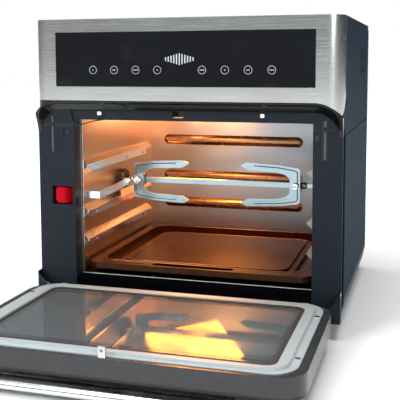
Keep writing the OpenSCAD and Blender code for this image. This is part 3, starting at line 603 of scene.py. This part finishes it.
def buildJointAndShadowLines(shape):
    for x0, z0, x1, z1 in jointAndShadowLines["seams"] + jointAndShadowLines["shadows"]:
        addBlock(shape, at(x0, -jointAndShadowLines["proud"], z0), at(x1, 0.1, z1), 0.00003)


meshPiece("joint_and_shadow_lines", buildJointAndShadowLines, sealSilicone, "oven")

# lighter strips on the crowns of the raised ribs: painted highlight
ribCrowns = {"left": (-162.3, -160.2), "right": (159.4, 161.8), "runs": [(195.5, 225.6), (230.4, 237.4)]}


def buildRibCrowns(shape):
    for x0, x1 in (ribCrowns["left"], ribCrowns["right"]):
        for z0, z1 in ribCrowns["runs"]:
            addBlock(shape, at(x0, -0.97, z0), at(x1, -0.88, z1), 0.00004)


ribHighlightLook = {"colour": (0.04, 0.058, 0.072), "rough": 0.35, "grain": 2400.0, "bump": 0.1, "marks": 0.2,
             "rub": 0.2}
meshPiece("rib_crowns", buildRibCrowns, makePlastic("rib_painted_highlight", ribHighlightLook), "oven")

# gloss corner panel between the trim's arc and the body's left corner
cornerPanel = {"centreX": -149.0, "centreZ": 219.0, "arc": 37.6, "top": 256.9, "left": -179.6, "steps": 24,
               "overlap": 0.5, "plan": 18.0, "planX": -162.0, "face": -9.5, "front": -0.25, "back": 0.1}


def buildCornerPanel(shape):
    d = cornerPanel
    rows = []
    for step in range(d["steps"] + 1):
        x = d["centreX"] + (d["left"] - d["centreX"]) * step / d["steps"]
        turn = max(0.0, d["planX"] - x)
        face = d["face"] + d["plan"] - math.sqrt(d["plan"] ** 2 - turn ** 2)
        arc = math.sqrt(max(0.0, d["arc"] ** 2 - (x - d["centreX"]) ** 2))
        low = d["centreZ"] + arc - d["overlap"]
        rows.append([shape.verts.new(at(x, face + y, z)) for y, z in
                     ((d["front"], low), (d["front"], d["top"]), (d["back"], d["top"]), (d["back"], low))])
    for first, second in zip(rows, rows[1:]):
        for side in range(4):
            shape.faces.new((first[side], first[(side + 1) % 4], second[(side + 1) % 4], second[side]))
    shape.faces.new(rows[0])
    shape.faces.new(list(reversed(rows[-1])))


meshPiece("corner_panel", buildCornerPanel, glossTrim, "oven")

# rounded shells over the stiffening ribs of the rear wall, coloured warm brown as a painted reflection of the
# cavity's glow
ribShells = {"heights": [93.5, 133.5, 186.5], "left": -112.0, "right": 94.0, "round": 6.5, "wall": 264.0,
             "sides": 14,
             "profile": [(7.3, 0.1), (6.7, 1.5), (5.5, 2.4), (4.1, 3.2), (2.8, 3.9), (1.3, 4.1)]}


def ribLoop(shape, z, half, depth):
    d = ribShells
    loop = []
    for centre, start in ((d["right"] - d["round"], -90), (d["left"] + d["round"], 90)):
        for step in range(d["sides"] + 1):
            turn = math.radians(start + 180 * step / d["sides"])
            x = centre + half * math.cos(turn)
            loop.append(shape.verts.new(at(x, d["wall"] - depth, z + half * math.sin(turn))))
    return loop


def buildRibShells(shape):
    for z in ribShells["heights"]:
        loops = [ribLoop(shape, z, half, depth) for half, depth in ribShells["profile"]]
        for first, second in zip(loops, loops[1:]):
            for step in range(len(first)):
                after = (step + 1) % len(first)
                shape.faces.new((first[step], first[after], second[after], second[step])).smooth = True
        shape.faces.new(loops[-1])


ribReflectionLook = {"colour": (0.5, 0.27, 0.14), "tint": (0.36, 0.16, 0.06), "rough": 0.26,
               "stretch": (2.0, 8.0, 8.0), "contrast": 0.05, "tintAmount": 0.5, "bump": 0.02}
meshPiece("rib_shells", buildRibShells, makeMetal("rib_painted_reflection", ribReflectionLook), "oven")

# black line along the pressed groove round the middle of each fork: painted shade in the crease
forkGroove = {"path": [(52, 24.4), (20, 22.8), (0.4, 19.8), (-2, 19), (-3.6, 17.1)], "y": 131.55, "z": 144.2,
              "radius": 0.0005, "backs": {"fork_l": (-104.0, 1), "fork_r": (105.5, -1)}}


def buildGroove(shape, back, way):
    upper = forkGroove["path"]
    whole = upper + [(x, -z) for x, z in reversed(upper)]
    tubeAlong(shape, [at(back + way * x, forkGroove["y"], forkGroove["z"] + z) for x, z in whole],
              forkGroove["radius"], 6)


for body, (back, way) in forkGroove["backs"].items():
    meshPiece("groove_" + body, lambda shape: buildGroove(shape, back, way), sealSilicone, body)

# lighter lines on the crests of the tray's steps as painted highlights, and a black pad in its front slot as
# painted shade
trayCrests = {"loops": [(-118.0, 130.5, 38.0, 251.0, 20.0, 58.95), (-103.5, 116.0, 52.5, 236.5, 18.5, 51.95),
                        (-95.5, 108.0, 60.5, 228.5, 15.5, 54.45)],
              "radius": 0.00032, "slot": (-44.0, 47.0, 30.2, 4.6, 58.9, 59.14)}


def buildTrayCrests(shape):
    for x0, x1, y0, y1, r, z in trayCrests["loops"]:
        points = []
        corners = ((x1 - r, y1 - r, 0), (x0 + r, y1 - r, 90), (x0 + r, y0 + r, 180), (x1 - r, y0 + r, 270))
        for cx, cy, start in corners:
            for step in range(7):
                turn = math.radians(start + 15 * step)
                points.append(at(cx + r * math.cos(turn), cy + r * math.sin(turn), z))
        tubeAlong(shape, points + points[:1], trayCrests["radius"], 6)


def buildSlotShade(shape):
    x0, x1, middle, half, low, high = trayCrests["slot"]
    loops = []
    for z in (low, high):
        turns = [(cx, math.radians(start + 22.5 * step))
                 for cx, start in ((x1, -90), (x0, 90)) for step in range(9)]
        loops.append([shape.verts.new(at(cx + half * math.cos(turn), middle + half * math.sin(turn), z))
                      for cx, turn in turns])
    for step in range(len(loops[0])):
        after = (step + 1) % len(loops[0])
        shape.faces.new((loops[0][step], loops[0][after], loops[1][after], loops[1][step]))
    shape.faces.new(list(reversed(loops[0])))
    shape.faces.new(loops[1])


# copper lines on the step crests: painted highlight
crestHighlightLook = {"colour": (0.62, 0.3, 0.12), "tint": (0.4, 0.17, 0.05), "rough": 0.3, "stretch": (2.0, 2.0, 2.0),
             "contrast": 0.03, "tintAmount": 0.8, "bump": 0.0}
meshPiece("tray_crests", buildTrayCrests, makeMetal("tray_painted_highlight", crestHighlightLook), "tray")
meshPiece("slot_shade", buildSlotShade, paintedShadeBlack, "tray")

# touch marks on the control glass: rings, dots and a level bar, no lettering
panelMarks = {"z": 304.0, "y": -10.16, "pitch": 26.0, "ring": 4.6, "line": 0.45, "count": 9}


def addRing(shape, x, z, radius, width, sides=28):
    loops = []
    for r in (radius, radius - width):
        turns = [2 * math.pi * s / sides for s in range(sides)]
        loops.append([shape.verts.new(at(x + r * math.cos(turn), panelMarks["y"], z + r * math.sin(turn)))
                      for turn in turns])
    for s in range(sides):
        shape.faces.new((loops[0][s], loops[0][(s + 1) % sides], loops[1][(s + 1) % sides], loops[1][s]))


def buildPanelMarks(shape):
    d = panelMarks
    for index in range(d["count"]):
        x = (index - (d["count"] - 1) / 2) * d["pitch"]
        if index == (d["count"] - 1) // 2:
            continue
        addRing(shape, x, d["z"] - 12, d["ring"], d["line"])
        for dot in range(1 + index % 3):
            addRing(shape, x - 2.0 * (index % 3) / 2 + 2.0 * dot, d["z"] - 12, 0.7, 0.7, 12)
    for bar in range(11):
        x = (bar - 5) * 3.2
        tall = 2.0 + 0.9 * (5 - abs(bar - 5))
        verts = [shape.verts.new(at(x + dx, d["y"], d["z"] + dz)) for dx, dz in
                 ((-0.7, -tall), (0.7, -tall), (0.7, tall), (-0.7, tall))]
        shape.faces.new(verts)


def makeMarkPaint(look):
    material, tree, shader = startMaterial("panel_mark_paint")
    grain = place(tree, surfaceGrain, Scale=look["grain"], Drift_Scale=200.0)
    tree.links.new(mixColour(tree, grain["Drift"], look["colour"], scaled(look["colour"], 0.8)),
                   shader.inputs["Base Color"])
    shader.inputs["Roughness"].default_value = 0.35
    return material


markLook = {"colour": (0.55, 0.57, 0.6), "grain": 800.0}
meshPiece("panel_marks", buildPanelMarks, makeMarkPaint(markLook), "oven")
print("small pieces added")


# floor, light and camera

def addFloor():
    bpy.ops.mesh.primitive_plane_add(size=14, location=(0, 0, -0.0004))
    floor = bpy.context.object
    floor.name = "floor"
    material, tree, shader = startMaterial("floorPale")
    shader.inputs["Base Color"].default_value = (0.93, 0.93, 0.93, 1.0)
    # the far floor fades into the white surround
    far = tree.nodes.new("ShaderNodeVectorMath")
    far.operation = "LENGTH"
    tree.links.new(objectPlace(tree), far.inputs[0])
    fade = remap(tree, far.outputs["Value"], 0.35, 1.6, 0.0, 1.0)
    tree.links.new(mixColour(tree, fade, (0.0, 0.0, 0.0), (0.9, 0.9, 0.9)), shader.inputs["Emission Color"])
    shader.inputs["Emission Strength"].default_value = 1.0
    shader.inputs["Roughness"].default_value = 0.6
    floor.data.materials.append(material)


def addSoftbox(name, location, target, size, power, colour=(1.0, 1.0, 1.0)):
    light = bpy.data.lights.new(name, "AREA")
    light.shape = "RECTANGLE"
    light.size, light.size_y = size
    light.energy = power
    light.color = colour
    holder = bpy.data.objects.new(name, light)
    holder.location = location
    holder.rotation_euler = (Vector(target) - Vector(location)).to_track_quat("-Z", "Y").to_euler()
    holder.visible_camera = False
    bpy.context.scene.collection.objects.link(holder)


def addCavityGlow(name, location, power, colour, radius):
    light = bpy.data.lights.new(name, "POINT")
    light.energy = power
    light.color = colour
    light.shadow_soft_size = radius
    holder = bpy.data.objects.new(name, light)
    holder.location = location
    bpy.context.scene.collection.objects.link(holder)


def makeWorld(look):
    world = bpy.data.worlds.new("studio")
    world.use_nodes = True
    tree = world.node_tree
    tree.nodes.clear()
    out = tree.nodes.new("ShaderNodeOutputWorld")
    seen = tree.nodes.new("ShaderNodeBackground")
    felt = tree.nodes.new("ShaderNodeBackground")
    seen.inputs[0].default_value = (1.0, 1.0, 1.0, 1.0)
    seen.inputs[1].default_value = look["seen"]
    facing = tree.nodes.new("ShaderNodeVectorMath")
    facing.operation = "DOT_PRODUCT"
    tree.links.new(tree.nodes.new("ShaderNodeTexCoord").outputs["Generated"], facing.inputs[0])
    facing.inputs[1].default_value = look["darkSide"]
    shade = remap(tree, facing.outputs["Value"], -0.1, 0.8, 0.0, 1.0)
    tree.links.new(mixColour(tree, shade, look["tint"], look["darkTint"]), felt.inputs[0])
    felt.inputs[1].default_value = look["felt"]
    path = tree.nodes.new("ShaderNodeLightPath")
    blend = tree.nodes.new("ShaderNodeMixShader")
    tree.links.new(path.outputs["Is Camera Ray"], blend.inputs[0])
    tree.links.new(felt.outputs[0], blend.inputs[1])
    tree.links.new(seen.outputs[0], blend.inputs[2])
    tree.links.new(blend.outputs[0], out.inputs[0])
    bpy.context.scene.world = world


addFloor()
makeWorld({"seen": 1.0, "felt": 0.26, "tint": (0.92, 0.96, 1.0), "darkSide": (0.82, 0.57, 0.0),
           "darkTint": (0.1, 0.14, 0.18)})
warmGlow = {"ceiling": (1.0, 0.42, 0.13), "tray": (1.0, 0.34, 0.03), "corner": (1.0, 0.6, 0.3)}
addSoftbox("keySoftbox", (-1.1, -1.5, 1.5), (0, -0.05, 0.15), (1.1, 1.1), 36)
addSoftbox("fillSoftbox", (1.3, -1.4, 1.0), (0, 0, 0.15), (0.7, 1.2), 15)
addSoftbox("topSoftbox", (0.0, 0.1, 1.9), (0, 0, 0.2), (1.6, 1.2), 40)
addSoftbox("ceilingGlow", at(-60, 120, 236), at(-140, 200, 100), (0.1, 0.08), 0.36, warmGlow["ceiling"])
addSoftbox("trayGlow", at(-30, 150, 170), at(0, 120, 58), (0.12, 0.1), 0.42, warmGlow["tray"])
addCavityGlow("cornerGlow", at(-75, 226, 222), 0.03, warmGlow["corner"], 0.008)
bpy.context.scene.view_settings.view_transform = "Standard"

cameraLook = {"place": (0.2714, -0.8915, 0.3013), "tilt": 90 - 5.668, "roll": 0.194, "turn": 16.465,
              "lens": 71.2, "rise": -0.15}
cameraData = bpy.data.cameras.new("camera")
cameraData.lens = cameraLook["lens"]
cameraData.sensor_width = 36
cameraData.shift_y = cameraLook["rise"]
cameraData.clip_start = 0.01
camera = bpy.data.objects.new("camera", cameraData)
camera.location = cameraLook["place"]
camera.rotation_euler = (math.radians(cameraLook["tilt"]), math.radians(cameraLook["roll"]),
                         math.radians(cameraLook["turn"]))
bpy.context.scene.collection.objects.link(camera)
bpy.context.scene.camera = camera
print("floor, lights and camera set")
